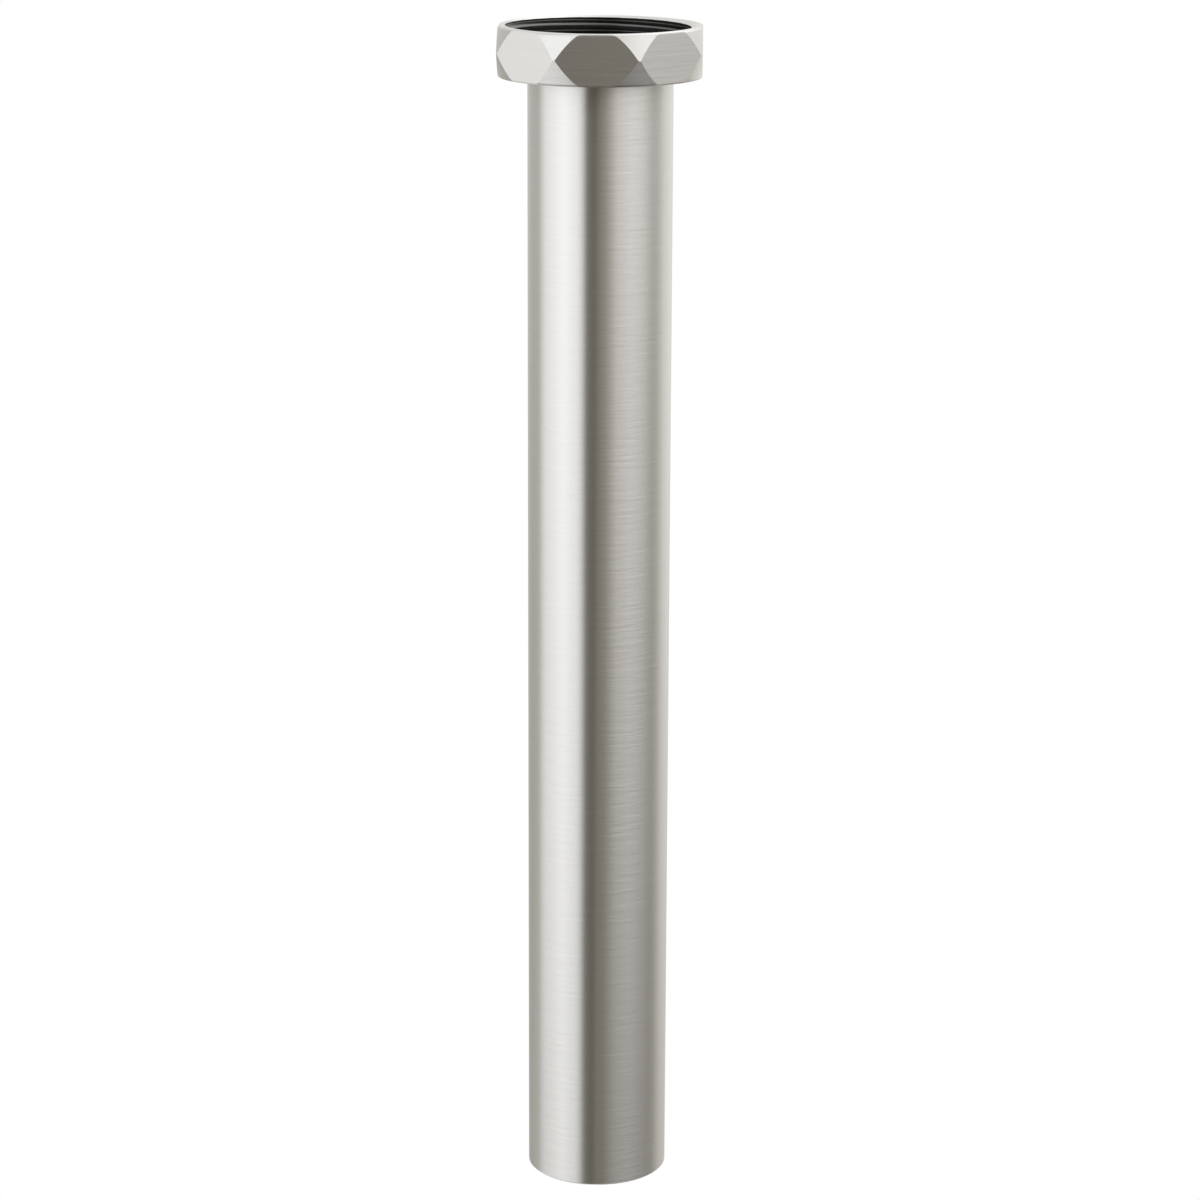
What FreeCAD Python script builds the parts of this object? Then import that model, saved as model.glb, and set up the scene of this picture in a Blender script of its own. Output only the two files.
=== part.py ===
import FreeCAD, Part
import math
import os
import Sketcher

# Basin waste tail pipe: a straight flanged tube, hung in an eight-sided union
# nut, with a flat sealing washer on its flange.
# Origin: on the axis, at the middle of the nut's mouth. +Z points out of the
# mouth, towards the basin. Millimetres.

# Driving dimensions: alias, value, meaning
SIZES = (
    ("tube_diameter", 32.0, "outside diameter of the tube"),
    ("tube_wall", 1.0, "sheet thickness of tube and flange"),
    ("tube_length", 258.1, "flange face to cut end"),
    ("tube_deburr", 0.3, "chamfer on both edges of the cut end"),
    ("flange_width", 3.0, "flange rim beyond the tube, radial"),
    ("flange_bend", 0.6, "bend radius under the flange"),
    ("flange_gap", 0.476, "flange rim to thread crests, radial"),
    ("washer_thickness", 2.0, "flat sealing washer"),
    ("washer_setback", 0.5, "washer hole beyond the tube's bore, radial"),
    ("washer_gap", 0.4, "washer rim to thread crests, radial"),
    ("thread_pitch", 2.309, "eleven turns to the inch"),
    ("nut_wall", 1.295, "metal left between a flat and the thread's root"),
    ("nut_sides", 8, "number of flats"),
    ("nut_height", 11.2, "end face to end face"),
    ("nut_shoulder", 2.5, "inner shoulder under the flange"),
    ("nut_taper", 14.5, "side of each turned cone, degrees off the axis"),
    ("corner_blunting", 0.1, "depth turned off each corner"),
    ("rim_radius", 0.65, "rounding of both turned rims"),
    ("flat_rim_radius", 0.38, "rounding between a flat and either end face"),
    ("tube_gap", 0.6, "tube to the hole in the nut, radial"),
    ("hole_chamfer", 0.3, "both edges of the hole in the nut"),
)

# Height of a 55 degree thread's profile, as a share of its pitch
THREAD_HEIGHT_RATIO = 0.640327

# Two places closer than this are the same place
TOUCH = 0.001

# Radii of the tube, then outwards through flange, washer and thread to the nut's corners
TUBE_RADIUS = "Sizes.tube_diameter / 2"
BORE_RADIUS = f"({TUBE_RADIUS} - Sizes.tube_wall)"
FLANGE_RADIUS = f"({TUBE_RADIUS} + Sizes.flange_width)"
CREST_RADIUS = f"({FLANGE_RADIUS} + Sizes.flange_gap)"
WASHER_RADIUS = f"({CREST_RADIUS} - Sizes.washer_gap)"
WASHER_HOLE = f"({BORE_RADIUS} + Sizes.washer_setback)"
ROOT_RADIUS = f"({CREST_RADIUS} + {THREAD_HEIGHT_RATIO} * Sizes.thread_pitch)"
FLAT_RADIUS = f"({ROOT_RADIUS} + Sizes.nut_wall)"
CORNER_RADIUS = f"({FLAT_RADIUS} / cos(180 / Sizes.nut_sides) - Sizes.corner_blunting)"
END_RADIUS = f"({CORNER_RADIUS} - Sizes.nut_height / 2 * tan(Sizes.nut_taper))"
HOLE_RADIUS = f"({TUBE_RADIUS} + Sizes.tube_gap)"

# Depths below the mouth of the nut
MID_DEPTH = "Sizes.nut_height / 2"
SEAT_DEPTH = "(Sizes.nut_height - Sizes.nut_shoulder)"
FLANGE_DEPTH = f"({SEAT_DEPTH} - Sizes.tube_wall)"
THREAD_DEPTH = f"({FLANGE_DEPTH} - Sizes.washer_thickness)"

document = FreeCAD.newDocument("TailPipe")


def add_sheet():
    """The sheet of driving dimensions."""
    sheet = document.addObject("Spreadsheet::Sheet", "Sizes")
    for row, (alias, value, meaning) in enumerate(SIZES, 1):
        sheet.set(f"A{row}", meaning)
        sheet.set(f"B{row}", str(value))
        sheet.setAlias(f"B{row}", alias)
    document.recompute()
    return sheet


def size(alias):
    """The value of one driving dimension."""
    return float(sheet.get(alias))


def add_body(name, depth):
    """A sub-part whose own origin lies at a depth below the mouth."""
    body = document.addObject("PartDesign::Body", name)
    body.Label = name
    body.setExpression("Placement.Base.z", f"-({depth})")
    return body


def origin_feature(body, role):
    """A plane or axis of the body's own origin."""
    return next(item for item in body.Origin.OriginFeatures if item.Role == role)


def add_sketch(body, name, plane):
    """An empty sketch on one of the body's origin planes."""
    sketch = body.newObject("Sketcher::SketchObject", name)
    sketch.AttachmentSupport = (origin_feature(body, plane), "")
    sketch.MapMode = "FlatFace"
    return sketch


def dimension(sketch, kind, start, end, expression):
    """A driving dimension between two sketch points, bound to the sheet."""
    span = sketch.getPoint(*end) - sketch.getPoint(*start)
    drawn = span.x if kind == "DistanceX" else span.y
    index = sketch.addConstraint(Sketcher.Constraint(kind, *start, *end, drawn))
    sketch.setExpression(f"Constraints[{index}]", expression)


def add_outline(sketch, corners):
    """A closed outline of straight lines, drawn rough and then dimensioned.

    Each corner is a radius from the axis and a depth below the local origin.
    A depth of None lies on the horizontal axis.
    """
    origin = (-1, 1)
    count = len(corners)
    rough = []
    for index in range(count):
        turn = 2 * math.pi * index / count
        rough.append(FreeCAD.Vector(20 + 10 * math.cos(turn), 10 * math.sin(turn) - 15, 0))
    for index in range(count):
        sketch.addGeometry(Part.LineSegment(rough[index], rough[(index + 1) % count]))
    for index in range(count):
        sketch.addConstraint(Sketcher.Constraint("Coincident", index, 2, (index + 1) % count, 1))
    for index, (radius, depth) in enumerate(corners):
        corner = (index, 1)
        dimension(sketch, "DistanceX", origin, corner, radius)
        if depth is None:
            sketch.addConstraint(Sketcher.Constraint("PointOnObject", *corner, -1))
        else:
            dimension(sketch, "DistanceY", corner, origin, depth)


def add_circle(sketch, expression):
    """A circle round the origin, its radius bound to the sheet."""
    index = sketch.addGeometry(Part.Circle(FreeCAD.Vector(0, 0, 0), FreeCAD.Vector(0, 0, 1), 10))
    sketch.addConstraint(Sketcher.Constraint("Coincident", index, 3, -1, 1))
    radius = sketch.addConstraint(Sketcher.Constraint("Radius", index, 10.0))
    sketch.setExpression(f"Constraints[{radius}]", expression)


def add_turning(body, name, corners):
    """A solid of revolution about Z, from an outline in radius and depth."""
    sketch = add_sketch(body, name + "Profile", "XZ_Plane")
    add_outline(sketch, corners)
    turning = body.newObject("PartDesign::Revolution", name)
    turning.Profile = sketch
    turning.ReferenceAxis = (sketch, ["V_Axis"])
    turning.Angle = 360
    document.recompute()
    return turning


def edges_at(feature, depth, choose=None):
    """Names of the edges in the plane at a depth.

    With choose, only those whose distance from the axis is the one chosen:
    min for the innermost, max for the outermost.
    """
    level = {}
    for number, edge in enumerate(feature.Shape.Edges, 1):
        if all(abs(vertex.Z + depth) < TOUCH for vertex in edge.Vertexes):
            level[f"Edge{number}"] = math.hypot(edge.Vertexes[0].X, edge.Vertexes[0].Y)
    if choose is None:
        return list(level)
    wanted = choose(level.values())
    return [name for name, radius in level.items() if abs(radius - wanted) < TOUCH]


def add_dress_up(body, kind, name, edges, setting, expression):
    """A fillet or chamfer on named edges of the body's last feature."""
    base = body.Tip
    feature = body.newObject(f"PartDesign::{kind}", name)
    feature.Base = (base, edges)
    feature.setExpression(setting, expression)
    document.recompute()
    return feature


def add_nut():
    """The eight-sided union nut.

    A turned blank of two cones back to back, with a stepped bore, is cut by
    one flat that repeats round the axis.
    """
    body = add_body("union_nut", "0")
    blank = add_turning(body, "Blank", (
        (ROOT_RADIUS, None),
        (END_RADIUS, None),
        (CORNER_RADIUS, MID_DEPTH),
        (END_RADIUS, "Sizes.nut_height"),
        (HOLE_RADIUS, "Sizes.nut_height"),
        (HOLE_RADIUS, SEAT_DEPTH),
        (CREST_RADIUS, SEAT_DEPTH),
        (CREST_RADIUS, THREAD_DEPTH),
        (ROOT_RADIUS, THREAD_DEPTH),
    ))
    height = size("nut_height")
    rims = edges_at(blank, 0, max) + edges_at(blank, height, max)
    add_dress_up(body, "Fillet", "TurnedRims", rims, "Radius", "Sizes.rim_radius")
    add_flats(body)
    seat = height - size("nut_shoulder")
    hole = edges_at(body.Tip, height, min) + edges_at(body.Tip, seat, min)
    add_dress_up(body, "Chamfer", "HoleEdges", hole, "Size", "Sizes.hole_chamfer")
    return body


def draw_flat(body):
    """The section that one flat takes off the blank, leaving both rims rounded.

    It is drawn near its place, and its dimensions then set it.
    """
    near = body.Tip.Shape.BoundBox.XMax * math.cos(math.pi / size("nut_sides"))
    far = 2 * near
    sketch = add_sketch(body, "FlatProfile", "XZ_Plane")
    low = -size("nut_height")
    rim = size("flat_rim_radius")
    upward = FreeCAD.Vector(0, 0, 1)
    upper_rim = Part.Circle(FreeCAD.Vector(near - rim, -rim, 0), upward, rim)
    lower_rim = Part.Circle(FreeCAD.Vector(near - rim, low + rim, 0), upward, rim)
    path = [FreeCAD.Vector(x, y, 0) for x, y in (
        (far, 0), (near - rim, 0), (near, -rim), (near, low + rim), (near - rim, low), (far, low),
    )]
    top = sketch.addGeometry(Part.LineSegment(path[0], path[1]))
    upper = sketch.addGeometry(Part.ArcOfCircle(upper_rim, 0, math.pi / 2))
    face = sketch.addGeometry(Part.LineSegment(path[2], path[3]))
    lower = sketch.addGeometry(Part.ArcOfCircle(lower_rim, -math.pi / 2, 0))
    base = sketch.addGeometry(Part.LineSegment(path[4], path[5]))
    outer = sketch.addGeometry(Part.LineSegment(path[5], path[0]))

    for joint in ((top, 2, upper, 2), (upper, 1, face, 1), (face, 2, lower, 2), (lower, 1, base, 1)):
        sketch.addConstraint(Sketcher.Constraint("Tangent", *joint))
    for joint in ((base, 2, outer, 1), (outer, 2, top, 1)):
        sketch.addConstraint(Sketcher.Constraint("Coincident", *joint))
    for line in (top, base):
        sketch.addConstraint(Sketcher.Constraint("Horizontal", line))
    for line in (face, outer):
        sketch.addConstraint(Sketcher.Constraint("Vertical", line))
    sketch.addConstraint(Sketcher.Constraint("PointOnObject", top, 1, -1))
    dimension(sketch, "DistanceY", (base, 1), (-1, 1), "Sizes.nut_height")
    dimension(sketch, "DistanceX", (-1, 1), (face, 1), FLAT_RADIUS)
    dimension(sketch, "DistanceX", (-1, 1), (outer, 1), f"2 * {FLAT_RADIUS}")
    for arc in (upper, lower):
        radius = sketch.addConstraint(Sketcher.Constraint("Radius", arc, rim))
        sketch.setExpression(f"Constraints[{radius}]", "Sizes.flat_rim_radius")
    return sketch


def add_flats(body):
    """The spanner flats: one cut right across the blank, repeated round the axis."""
    turned = body.Tip
    sketch = draw_flat(body)
    flat = body.newObject("PartDesign::Pocket", "Flat")
    flat.Profile = sketch
    flat.Type = "ThroughAll"
    flat.Midplane = True
    document.recompute()
    pattern = body.newObject("PartDesign::PolarPattern", "Flats")
    pattern.Originals = [flat]
    pattern.Axis = (origin_feature(body, "Z_Axis"), [""])
    pattern.Angle = 360
    pattern.setExpression("Occurrences", "Sizes.nut_sides")
    body.Tip = pattern
    document.recompute()
    if not pattern.Shape.Volume < flat.Shape.Volume < turned.Shape.Volume:
        raise RuntimeError("a flat of the nut cuts nothing")


def add_tube():
    """The tube, one piece with its flange, bent out of the tube's own wall."""
    body = add_body("tail_pipe", FLANGE_DEPTH)
    add_turning(body, "Tube", (
        (BORE_RADIUS, None),
        (FLANGE_RADIUS, None),
        (FLANGE_RADIUS, "Sizes.tube_wall"),
        (TUBE_RADIUS, "Sizes.tube_wall"),
        (TUBE_RADIUS, "Sizes.tube_length"),
        (BORE_RADIUS, "Sizes.tube_length"),
    ))
    under_flange = edges_at(body.Tip, size("tube_wall"), min)
    add_dress_up(body, "Fillet", "OuterBend", under_flange, "Radius", "Sizes.flange_bend")
    mouth = edges_at(body.Tip, 0, min)
    add_dress_up(body, "Fillet", "InnerBend", mouth, "Radius", "Sizes.flange_bend + Sizes.tube_wall")
    cut_end = edges_at(body.Tip, size("tube_length"))
    add_dress_up(body, "Chamfer", "CutEnd", cut_end, "Size", "Sizes.tube_deburr")
    return body


def add_washer():
    """The flat sealing washer, stamped from sheet, lying on the flange."""
    body = add_body("sealing_washer", FLANGE_DEPTH)
    sketch = add_sketch(body, "WasherProfile", "XY_Plane")
    add_circle(sketch, WASHER_RADIUS)
    add_circle(sketch, WASHER_HOLE)
    ring = body.newObject("PartDesign::Pad", "Ring")
    ring.Profile = sketch
    ring.setExpression("Length", "Sizes.washer_thickness")
    document.recompute()
    return body


def check_model(bodies):
    """Stops unless every feature was made and every sub-part is one sound solid."""
    for item in document.Objects:
        if "Invalid" in item.State or "Error" in item.State:
            raise RuntimeError(f"{item.Name} was not made")
    for body in bodies:
        shape = body.Shape
        if shape.isNull() or not shape.isValid() or len(shape.Solids) != 1:
            raise RuntimeError(f"{body.Label} is not one sound solid")


sheet = add_sheet()
bodies = (add_nut(), add_tube(), add_washer())
document.recompute()
check_model(bodies)

os.makedirs("parts", exist_ok=True)
for body in bodies:
    body.Shape.exportStep(f"parts/{body.Label}.step")
    box = body.Shape.BoundBox
    print(f"{body.Label}: z {box.ZMin:.3f} to {box.ZMax:.3f}, volume {body.Shape.Volume:.1f}")
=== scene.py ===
import math

import bmesh
import bpy
from mathutils import Matrix, Vector


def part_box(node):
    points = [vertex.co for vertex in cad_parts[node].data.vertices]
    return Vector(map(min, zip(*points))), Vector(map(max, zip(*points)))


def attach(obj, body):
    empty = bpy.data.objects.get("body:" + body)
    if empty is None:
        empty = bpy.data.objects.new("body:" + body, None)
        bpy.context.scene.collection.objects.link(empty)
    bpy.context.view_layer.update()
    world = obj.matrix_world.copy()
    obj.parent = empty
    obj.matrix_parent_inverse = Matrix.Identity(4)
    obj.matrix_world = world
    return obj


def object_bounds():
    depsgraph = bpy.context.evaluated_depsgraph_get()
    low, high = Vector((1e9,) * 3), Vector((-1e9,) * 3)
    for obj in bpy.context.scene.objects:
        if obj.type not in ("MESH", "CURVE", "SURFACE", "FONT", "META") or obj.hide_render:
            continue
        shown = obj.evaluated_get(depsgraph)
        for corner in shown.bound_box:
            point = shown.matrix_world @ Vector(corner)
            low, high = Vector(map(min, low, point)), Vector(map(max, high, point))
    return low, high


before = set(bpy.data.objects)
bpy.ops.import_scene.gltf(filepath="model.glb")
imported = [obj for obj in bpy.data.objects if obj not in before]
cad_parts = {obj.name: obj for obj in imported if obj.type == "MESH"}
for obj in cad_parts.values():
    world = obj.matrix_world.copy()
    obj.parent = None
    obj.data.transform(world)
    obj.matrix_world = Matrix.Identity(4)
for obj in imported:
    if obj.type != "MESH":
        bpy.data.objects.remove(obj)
cad_low, cad_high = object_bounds()

# Lengths are in metres and angles in degrees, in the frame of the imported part:
# the origin is the middle of the nut's mouth, +Z points out of the mouth, and
# a flat faces -Y.
MM = 0.001
MIDDLE = (cad_low.z + cad_high.z) / 2

# The photograph's view, worked out from the edges of tube and nut. The focal
# length is in pixels, and the sensor's width in millimetres.
IMAGE_WIDTH = 1200
FOCAL_PIXELS = 3537.6
SENSOR_WIDTH = 36.0
CLIP_START = 0.01
CLIP_END = 50
CAMERA_AZIMUTH = 2.197
CAMERA_DISTANCE = 776.41 * MM
CAMERA_HEIGHT = 73.83 * MM
CAMERA_YAW = 0.022
CAMERA_PITCH = 14.673
CAMERA_ROLL = 0.206

# The light for what is seen and mirrored, and a softer one for all the rest
BACKGROUND_LIGHT = 1.0
ROOM_LIGHT = 0.6
WHITE = (1, 1, 1)

# The floor, which fades out between two distances from the axis
FLOOR_HEIGHT = -0.9
FLOOR_REACH = 1.2
FLOOR_FADE_START = 0.4 * FLOOR_REACH
FLOOR_FADE_END = 0.97 * FLOOR_REACH
FLOOR_COLOUR = (0.85, 0.85, 0.85)

# Segments round the floor and round the light tent
ROUND_SEGMENTS = 96

# The light tent that the metal mirrors. Each entry gives a direction round the
# part, counted from the camera's side and positive to the right of it, the
# level of light there, and the share by which blue falls short of red. The
# first list is for directions near the horizon, and the second for high ones.
TENT_RADIUS = 4.0
TENT_SIDES = (
    (-180, 1.10, 0.00),
    (-156, 0.87, 0.03),
    (-132, 0.80, 0.06),
    (-115, 0.64, 0.07),
    (-97, 1.15, 0.04),
    (-60, 1.58, 0.00),
    (-36, 1.32, 0.01),
    (-28, 0.92, 0.05),
    (-21, 0.14, 0.30),
    (-8, 0.09, 0.30),
    (0, 0.25, 0.26),
    (8, 0.51, 0.22),
    (28, 1.22, 0.09),
    (50, 1.40, 0.05),
    (66, 1.26, 0.06),
    (88, 0.80, 0.08),
    (102, 0.76, 0.09),
    (125, 1.13, 0.04),
    (150, 1.20, 0.01),
    (180, 1.10, 0.00),
)
TENT_TOP = (
    (-180, 1.30, 0.04),
    (-120, 0.80, 0.06),
    (-75, 0.65, 0.06),
    (-38, 1.40, 0.00),
    (-18, 0.65, 0.08),
    (0, 0.85, 0.08),
    (35, 0.85, 0.05),
    (75, 1.00, 0.04),
    (120, 1.80, 0.00),
    (150, 1.80, 0.00),
    (180, 1.30, 0.04),
)

# How the light from each side of the tent changes with height: the heights
# where the change starts and ends, and the factor on the light at the two. A
# height is the sine of the angle above the horizon, and negative below it. The
# two factors of the left back add up.
LEFT_FADE = (-0.62, -0.39, 0.16, 1.0)
DARK_FADE = (-0.50, -0.20, 1.45, 1.0)
RIGHT_FADE = (-0.37, 0.02, 0, 1.21)
FLANK_FADE = (-0.22, 0.02, 0.20, 1.15)
LEFT_BACK_FADE = (-0.30, 0.0, 0.53, 0.80)
LEFT_BACK_FOOT = (-0.65, -0.45, 0.50, 0)
RIGHT_BACK_FADE = (-0.42, -0.22, 0.42, 0.78)

# The heights between which the sides give way to the top
SIDES_TO_TOP = (0.20, 0.70)

# Where one side of the tent gives way to the next, in turns round the part.
# More is to the right of the camera's side. A pair that follows a middle is
# counted from it both ways.
CAMERA_SIDE = 0.5
LEFT_TO_DARK = (0.428, 0.442)
DARK_TO_RIGHT = (0.478, 0.522)
RIGHT_MIDDLE = 0.645
RIGHT_TO_FLANK = (0.075, 0.12)
FRONT_MIDDLE = 0.49
FRONT_TO_BACK = (0.28, 0.365)
RIGHT_BACK_MIDDLE = 0.86
RIGHT_BACK_TO_LEFT = (0.05, 0.13)

# The tint where a side of the tent has faded out, which is white at full light
FADED_TINT = (1, 0.93, 0.76)

# The brushing is fine and broad noise, with this many waves in a metre up the
# part and round it. The broad waves round the part differ with each steel.
FINE_WAVES_UP = 9000
FINE_WAVES_ROUND = 150
BROAD_WAVES_UP = 1200
FINE_SHARE = 0.65
BROAD_SHARE = 0.35
WAVE_DETAIL = 3
WAVE_ROUGHNESS = 0.6

# What the brushing changes in the steel between two levels of the noise: the
# factor on its grey, and the roughness to either side
WAVE_LEVELS = (0.3, 0.7)
GREY_FACTORS = (0.96, 1.03)
ROUGHNESS_CHANGE = 0.006

# The steel outside, and the steel of the thread, whose low grey is painted shade
# that stands in for the dark inside the nut. What brushed steel mirrors is
# drawn out at a quarter turn from the brushing.
SATIN = {"grey": 0.72, "roughness": 0.294, "anisotropy": 0.978}
THREAD_PAINTED_SHADE = {"grey": 0.14, "roughness": 0.28, "anisotropy": 0.0}
QUARTER_TURN = 0.25

# The black rubber: its darkest and lightest grain, by the noise's level
RUBBER_STOPS = ((0.35, (0.016, 0.016, 0.017)), (0.65, (0.03, 0.03, 0.031)))
RUBBER_ROUGHNESS = 0.62
GRAIN_SCALE = 1800
GRAIN_DETAIL = 4
GRAIN_STRENGTH = 0.25
GRAIN_DEPTH = 0.03 * MM

# The thread in the nut: a right-hand inch pipe thread of 55 degrees. Its height
# and roundings are in pitches, and the top root is the angle at which the
# uppermost groove meets the nut's face. The crest is blunter than the root.
THREAD_PITCH = 2.309 * MM
THREAD_ROOT = 20.9545 * MM
THREAD_HEIGHT = 0.640327
THREAD_CREST = THREAD_ROOT - THREAD_HEIGHT * THREAD_PITCH
THREAD_ROUNDING = 0.137329
CREST_ROUNDING = 0.23
THREAD_HALF_ANGLE = 27.5
THREAD_TOP_ROOT = 232.0
THREAD_STEPS = 360
THREAD_ROWS = 150
SHARP_ANGLE = 30

# The thread stays this far inside the nut's plain bore and below its face
THREAD_SKIN = 0.015 * MM
FACE_GAP = 0.002 * MM

# The countersink that opens the mouth: how much it narrows for each unit of
# depth, and the depth down to which it keeps the nut's steel all the way round.
# Below that, the thread's steel is painted dark as shade.
COUNTERSINK_SLOPE = 2.0
MOUTH_EDGE = 0.3 * MM


class Shader:
    """A node tree that is being written."""

    def __init__(self, tree):
        self.tree = tree
        tree.nodes.clear()

    def add(self, kind, settings=None, **inputs):
        """A node with its settings and inputs.

        An input goes by its name with underscores for spaces, or by the letter
        i and its number.
        """
        node = self.tree.nodes.new(kind)
        for name, value in (settings or {}).items():
            setattr(node, name, value)
        for name, value in inputs.items():
            numbered = name[0] == "i" and name[1:].isdigit()
            socket = node.inputs[int(name[1:]) if numbered else name.replace("_", " ")]
            if isinstance(value, bpy.types.NodeSocket):
                self.tree.links.new(value, socket)
            else:
                socket.default_value = value
        return node

    def place(self):
        """The point's place in its object."""
        return self.add("ShaderNodeTexCoord").outputs["Object"]

    def ramp(self, source, stops):
        """A colour ramp with stops of (position, colour)."""
        node = self.add("ShaderNodeValToRGB", Fac=source)
        elements = node.color_ramp.elements
        while len(elements) < len(stops):
            elements.new(0.5)
        for element, (position, colour) in zip(elements, stops):
            element.position = position
            element.color = (*colour, 1)
        return node.outputs["Color"]

    def math(self, operation, *values):
        """A Math node's result."""
        inputs = {f"i{number}": value for number, value in enumerate(values)}
        return self.add("ShaderNodeMath", {"operation": operation}, **inputs).outputs[0]

    def distance(self, value, middle):
        """How far a value is from a middle."""
        return self.math("ABSOLUTE", self.math("SUBTRACT", value, middle))

    def spread(self, value, low, high, to_low=0, to_high=1):
        """A value mapped from one range to another, and held at its ends."""
        return self.add(
            "ShaderNodeMapRange",
            Value=value, From_Min=low, From_Max=high, To_Min=to_low, To_Max=to_high,
        ).outputs[0]

    def mix(self, share, first, second):
        """Two values mixed, by the second one's share."""
        node = self.add("ShaderNodeMix", {"data_type": "FLOAT"}, i0=share, i2=first, i3=second)
        return node.outputs[0]

    def cover(self, surface):
        """Makes this the surface of the material."""
        self.add("ShaderNodeOutputMaterial", Surface=surface)


def new_material(name):
    """An empty material and its shader."""
    material = bpy.data.materials.new(name)
    material.use_nodes = True
    return material, Shader(material.node_tree)


def new_object(name, data):
    """An object in the scene."""
    new = bpy.data.objects.new(name, data)
    bpy.context.scene.collection.objects.link(new)
    return new


def new_piece(name, shape, *materials):
    """An object with a finished shape and its materials."""
    mesh = bpy.data.meshes.new(name)
    shape.to_mesh(mesh)
    shape.free()
    for material in materials:
        mesh.materials.append(material)
    return new_object(name, mesh)


def add_camera():
    """The camera of the photograph."""
    azimuth = math.radians(CAMERA_AZIMUTH)
    heading = math.radians(CAMERA_YAW - CAMERA_AZIMUTH)
    pitch = math.radians(CAMERA_PITCH)
    roll = math.radians(CAMERA_ROLL)
    forward = Vector((
        math.sin(heading) * math.cos(pitch),
        math.cos(heading) * math.cos(pitch),
        -math.sin(pitch),
    ))
    level = Vector((math.cos(heading), -math.sin(heading), 0))
    upright = level.cross(forward)
    right = level * math.cos(roll) + upright * math.sin(roll)
    up = upright * math.cos(roll) - level * math.sin(roll)
    turn = Matrix((right, up, -forward)).transposed().to_4x4()
    place = Vector((
        CAMERA_DISTANCE * math.sin(azimuth),
        -CAMERA_DISTANCE * math.cos(azimuth),
        CAMERA_HEIGHT,
    ))

    data = bpy.data.cameras.new("camera")
    data.sensor_width = SENSOR_WIDTH
    data.lens = FOCAL_PIXELS / IMAGE_WIDTH * SENSOR_WIDTH
    data.clip_start = CLIP_START
    data.clip_end = CLIP_END
    camera = new_object("camera", data)
    camera.matrix_world = Matrix.Translation(place) @ turn
    bpy.context.scene.camera = camera


def add_world():
    """A white background, seen and mirrored in metal, and a softer light for all the rest."""
    world = bpy.data.worlds.new("world")
    bpy.context.scene.world = world
    world.use_nodes = True
    shader = Shader(world.node_tree)
    path = shader.add("ShaderNodeLightPath").outputs
    seen = shader.math("MAXIMUM", path["Is Camera Ray"], path["Is Glossy Ray"])
    seen = shader.math("MAXIMUM", seen, path["Is Transmission Ray"])
    strength = shader.spread(seen, 0, 1, ROOM_LIGHT, BACKGROUND_LIGHT)
    sky = shader.add("ShaderNodeBackground", Color=(*WHITE, 1), Strength=strength).outputs[0]
    shader.add("ShaderNodeOutputWorld", Surface=sky)


def tent_colours(shader, around, lights):
    """The tent's colour round the part, where green falls short by a third as much as blue."""
    stops = [
        (CAMERA_SIDE + angle / 360, (level, level * (1 - warmth / 3), level * (1 - warmth)))
        for angle, level, warmth in lights
    ]
    return shader.ramp(around, stops)


def tent_strength(shader, around, rise):
    """How strong the tent's sides are in each direction, by turns round the part and height."""
    left = shader.spread(rise, *LEFT_FADE)
    dark = shader.spread(rise, *DARK_FADE)
    to_flank = shader.spread(shader.distance(around, RIGHT_MIDDLE), *RIGHT_TO_FLANK)
    right = shader.mix(to_flank, shader.spread(rise, *RIGHT_FADE), shader.spread(rise, *FLANK_FADE))
    to_dark = shader.spread(around, *LEFT_TO_DARK)
    to_right = shader.spread(around, *DARK_TO_RIGHT)
    front = shader.mix(to_right, shader.mix(to_dark, left, dark), right)

    left_back = shader.math(
        "ADD", shader.spread(rise, *LEFT_BACK_FADE), shader.spread(rise, *LEFT_BACK_FOOT),
    )
    right_back = shader.spread(rise, *RIGHT_BACK_FADE)
    off_right_back = shader.distance(around, RIGHT_BACK_MIDDLE)
    in_right_back = shader.spread(off_right_back, *RIGHT_BACK_TO_LEFT, to_low=1, to_high=0)
    back = shader.mix(in_right_back, left_back, right_back)

    to_back = shader.spread(shader.distance(around, FRONT_MIDDLE), *FRONT_TO_BACK)
    return shader.mix(to_back, front, back)


def tent_glow():
    """The tent's light: the sides, which fade and warm towards the foot, and the top."""
    material, shader = new_material("light_tent")
    place = shader.place()
    # The camera's side is turned to +X, which is halfway through the gradient
    to_camera = (0, 0, math.radians(90 - CAMERA_AZIMUTH))
    turned = shader.add("ShaderNodeMapping", Vector=place, Rotation=to_camera).outputs[0]
    gradient = shader.add("ShaderNodeTexGradient", {"gradient_type": "RADIAL"}, Vector=turned)
    around = gradient.outputs["Fac"]
    facing = shader.add("ShaderNodeVectorMath", {"operation": "NORMALIZE"}, i0=place).outputs[0]
    rise = shader.add("ShaderNodeSeparateXYZ", Vector=facing).outputs["Z"]

    strength = tent_strength(shader, around, rise)
    tint = shader.ramp(strength, ((0, FADED_TINT), (1, WHITE)))
    colours = tent_colours(shader, around, TENT_SIDES)
    tinted = shader.add("ShaderNodeVectorMath", {"operation": "MULTIPLY"}, i0=colours, i1=tint)
    sides = shader.add("ShaderNodeEmission", Color=tinted.outputs[0], Strength=strength).outputs[0]
    top = shader.add("ShaderNodeEmission", Color=tent_colours(shader, around, TENT_TOP)).outputs[0]
    to_top = shader.spread(rise, *SIDES_TO_TOP)
    shader.cover(shader.add("ShaderNodeMixShader", i0=to_top, i1=sides, i2=top).outputs[0])
    return material


def add_tent():
    """The light tent round the part, seen only in reflections."""
    shape = bmesh.new()
    bmesh.ops.create_uvsphere(
        shape, u_segments=ROUND_SEGMENTS, v_segments=ROUND_SEGMENTS // 2, radius=TENT_RADIUS,
    )
    tent = new_piece("light_tent", shape, tent_glow())
    tent.location.z = MIDDLE
    tent.visible_camera = False
    tent.visible_diffuse = False
    tent.visible_shadow = False


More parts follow.
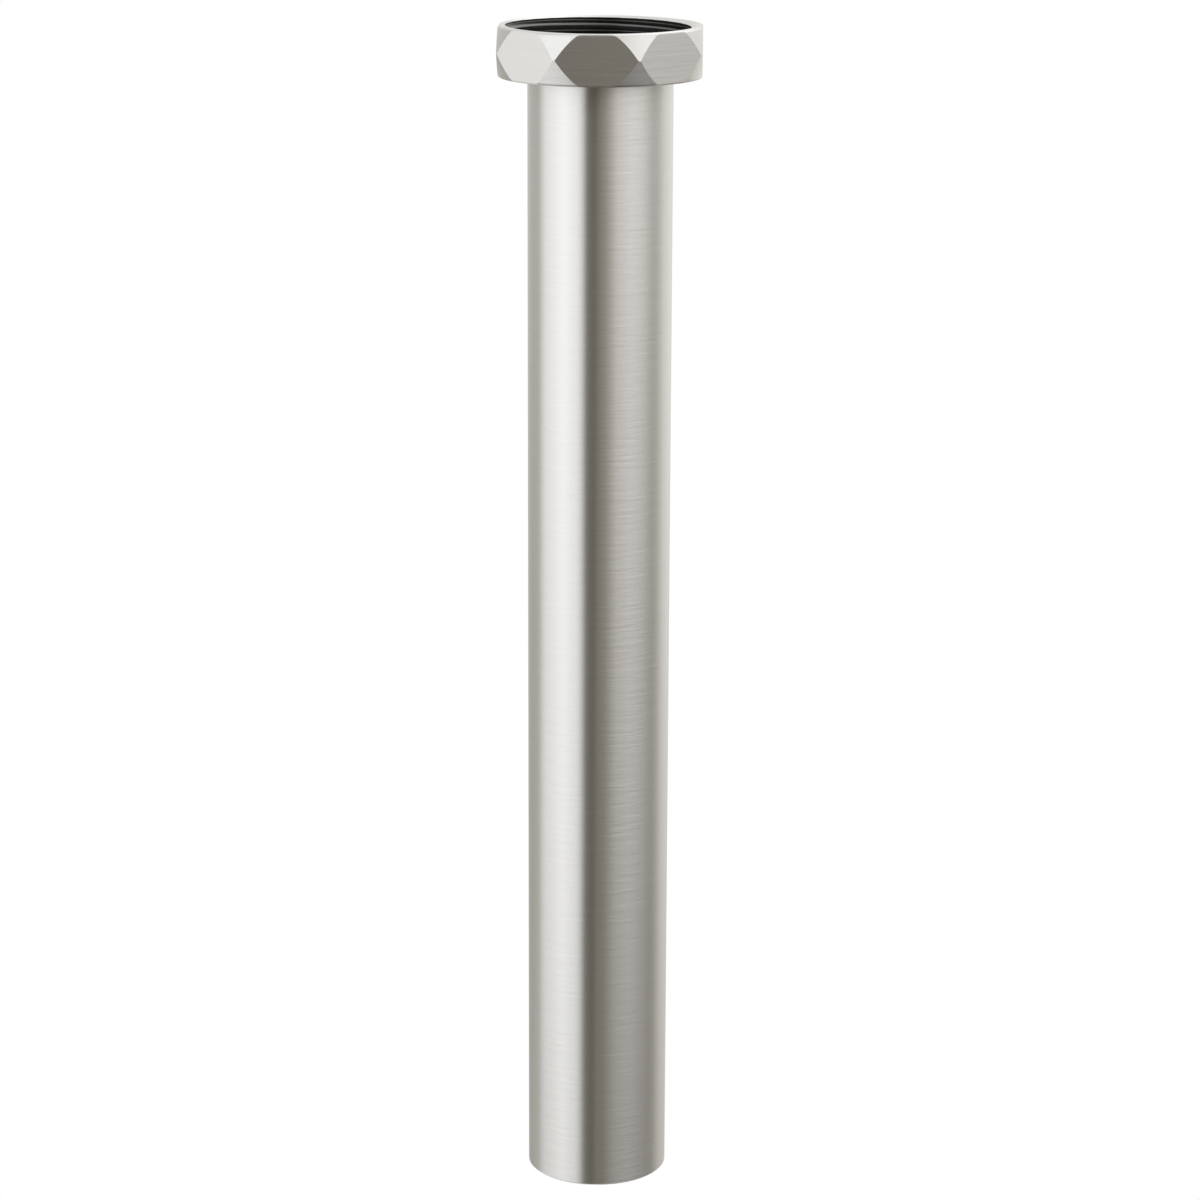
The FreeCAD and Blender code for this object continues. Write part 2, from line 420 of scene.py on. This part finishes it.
def pale_floor():
    """The floor's pale colour, and how it fades out."""
    material, shader = new_material("floor")
    outward = shader.add("ShaderNodeVectorMath", {"operation": "LENGTH"}, i0=shader.place())
    fade = shader.spread(outward.outputs["Value"], FLOOR_FADE_START, FLOOR_FADE_END)
    pale = shader.add("ShaderNodeBsdfDiffuse", Color=(*FLOOR_COLOUR, 1)).outputs[0]
    clear = shader.add("ShaderNodeBsdfTransparent").outputs[0]
    shader.cover(shader.add("ShaderNodeMixShader", i0=fade, i1=pale, i2=clear).outputs[0])
    return material


def add_floor():
    """A plain pale floor, well below the hanging tube, that fades out at its edge."""
    shape = bmesh.new()
    bmesh.ops.create_circle(shape, cap_ends=True, segments=ROUND_SEGMENTS, radius=FLOOR_REACH)
    floor = new_piece("floor", shape, pale_floor())
    floor.location.z = FLOOR_HEIGHT
    floor.visible_glossy = False


def add_lamp(name, place, size, power):
    """A soft square lamp that points at the part and isn't mirrored in it."""
    data = bpy.data.lights.new(name, "AREA")
    data.size = size
    data.energy = power
    lamp = new_object(name, data)
    lamp.location = place
    aim = Vector((0, 0, MIDDLE)) - Vector(place)
    lamp.rotation_mode = "QUATERNION"
    lamp.rotation_quaternion = aim.to_track_quat("-Z", "Y")
    lamp.visible_glossy = False


def brushing(shader, waves_up, waves_round):
    """Noise that varies quickly with height and slowly round the part."""
    scale = (waves_round, waves_round, waves_up)
    drawn_out = shader.add("ShaderNodeMapping", Vector=shader.place(), Scale=scale).outputs[0]
    noise = shader.add(
        "ShaderNodeTexNoise",
        Vector=drawn_out, Scale=1, Detail=WAVE_DETAIL, Roughness=WAVE_ROUGHNESS,
    )
    return noise.outputs["Fac"]


def brushed_steel(name, grey, roughness, anisotropy, waves_round, relief):
    """Steel brushed round the axis, whose broad waves are also a slight relief."""
    material, shader = new_material(name)
    fine = brushing(shader, FINE_WAVES_UP, FINE_WAVES_ROUND)
    broad = brushing(shader, BROAD_WAVES_UP, waves_round)
    fine_part = shader.math("MULTIPLY", fine, FINE_SHARE)
    broad_part = shader.math("MULTIPLY", broad, BROAD_SHARE)
    both = shader.math("ADD", fine_part, broad_part)
    greys = [[grey * factor] * 3 for factor in GREY_FACTORS]
    colour = shader.ramp(both, list(zip(WAVE_LEVELS, greys)))
    rough = shader.spread(
        both, *WAVE_LEVELS, roughness - ROUGHNESS_CHANGE, roughness + ROUGHNESS_CHANGE,
    )
    bump = shader.add("ShaderNodeBump", Strength=1.0, Distance=relief, Height=broad).outputs[0]
    tangent = shader.add("ShaderNodeTangent", {"direction_type": "RADIAL", "axis": "Z"}).outputs[0]
    steel = shader.add(
        "ShaderNodeBsdfPrincipled", Base_Color=colour, Metallic=1.0, Roughness=rough, Normal=bump,
        Tangent=tangent, Anisotropic=anisotropy, Anisotropic_Rotation=QUARTER_TURN,
    )
    shader.cover(steel.outputs[0])
    return material


def black_rubber():
    """Matt black rubber with a faint moulded grain."""
    material, shader = new_material("black_rubber")
    noise = shader.add(
        "ShaderNodeTexNoise", Vector=shader.place(), Scale=GRAIN_SCALE, Detail=GRAIN_DETAIL,
    )
    grain = noise.outputs["Fac"]
    colour = shader.ramp(grain, RUBBER_STOPS)
    bump = shader.add(
        "ShaderNodeBump", Strength=GRAIN_STRENGTH, Distance=GRAIN_DEPTH, Height=grain,
    ).outputs[0]
    rubber = shader.add(
        "ShaderNodeBsdfPrincipled", Base_Color=colour, Roughness=RUBBER_ROUGHNESS, Normal=bump,
    )
    shader.cover(rubber.outputs[0])
    return material


def cut_depth(turns):
    """How far the thread is cut past its standard crest, in pitches.

    Each whole turn is the middle of a crest, and each half turn that of a root.
    """
    away = abs(turns - round(turns))
    half_angle = math.radians(THREAD_HALF_ANGLE)
    if away < CREST_ROUNDING * math.cos(half_angle):
        blunted = (CREST_ROUNDING - THREAD_ROUNDING) * (1 / math.sin(half_angle) - 1)
        return blunted + CREST_ROUNDING - math.sqrt(CREST_ROUNDING ** 2 - away ** 2)
    if away > 0.5 - THREAD_ROUNDING * math.cos(half_angle):
        return THREAD_HEIGHT - THREAD_ROUNDING + math.sqrt(THREAD_ROUNDING ** 2 - (0.5 - away) ** 2)
    return THREAD_HEIGHT / 2 + (away - 0.25) / math.tan(half_angle)


def thread_radius(depth, step):
    """The thread's radius at a depth and a step round, and whether the countersink cuts it there."""
    turns = -depth / THREAD_PITCH - step / THREAD_STEPS + THREAD_TOP_ROOT / 360 + 0.5
    cut = THREAD_CREST + cut_depth(turns) * THREAD_PITCH
    cone = THREAD_ROOT - COUNTERSINK_SLOPE * depth
    return min(max(cut, cone), THREAD_ROOT - THREAD_SKIN), cone > cut


def add_ring(shape, radii, height):
    """A ring of vertices, one for each radius."""
    ring = []
    for step, radius in enumerate(radii):
        turn = 2 * math.pi * step / len(radii)
        ring.append(shape.verts.new((radius * math.cos(turn), radius * math.sin(turn), height)))
    return ring


def add_thread(material, mouth_material):
    """The nut's inside thread: a ring whose inner wall is the thread and the countersink."""
    face_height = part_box("union_nut")[1].z
    top = face_height - FACE_GAP
    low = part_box("sealing_washer")[1].z
    shape = bmesh.new()
    rings = []
    clear_of_painted_shade = set()
    for row in range(THREAD_ROWS + 1):
        height = top + (low - top) * row / THREAD_ROWS
        depth = face_height - height
        points = [thread_radius(depth, step) for step in range(THREAD_STEPS)]
        ring = add_ring(shape, [radius for radius, is_cone in points], height)
        for vertex, (radius, is_cone) in zip(ring, points):
            # The countersink and the mouth's edge keep the nut's steel; every other face gets the
            # thread's steel, whose dark grey is painted shade
            if is_cone or depth < MOUTH_EDGE:
                clear_of_painted_shade.add(vertex)
        rings.append(ring)
    for height in (low, top):
        rings.append(add_ring(shape, [THREAD_ROOT] * THREAD_STEPS, height))
    for upper, lower in zip(rings, rings[1:] + rings[:1]):
        for step in range(THREAD_STEPS):
            after = (step + 1) % THREAD_STEPS
            face = shape.faces.new((upper[step], upper[after], lower[after], lower[step]))
            face.smooth = True
            # Faces wholly in the countersink or at the mouth's edge take the nut's steel, and the
            # rest the painted shade of the thread's steel
            if all(corner in clear_of_painted_shade for corner in face.verts):
                face.material_index = 1
    bmesh.ops.recalc_face_normals(shape, faces=shape.faces)
    thread = new_piece("inside_thread", shape, material, mouth_material)
    thread.data.set_sharp_from_angle(angle=math.radians(SHARP_ANGLE))
    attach(thread, "nut")


def dress(node, material):
    """Gives a CAD node its material."""
    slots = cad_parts[node].data.materials
    slots.clear()
    slots.append(material)


bpy.context.scene.view_settings.view_transform = "Standard"
add_camera()
add_world()
add_tent()
add_floor()
add_lamp("key_lamp", place=(-0.9, -0.7, 0.8), size=0.8, power=12)
add_lamp("fill_lamp", place=(0.9, -0.5, 0.6), size=0.8, power=6)

tube_steel = brushed_steel("tube_steel", **SATIN, waves_round=110, relief=0.036 * MM)
nut_steel = brushed_steel("nut_steel", **SATIN, waves_round=45, relief=0.04 * MM)
# The thread's steel has its grey painted dark, as shade inside the nut's thread
thread_steel_painted_shade = brushed_steel("thread_steel_painted_shade", **THREAD_PAINTED_SHADE, waves_round=20, relief=0.01 * MM)
dress("tail_pipe", tube_steel)
dress("union_nut", nut_steel)
dress("sealing_washer", black_rubber())
add_thread(thread_steel_painted_shade, nut_steel)
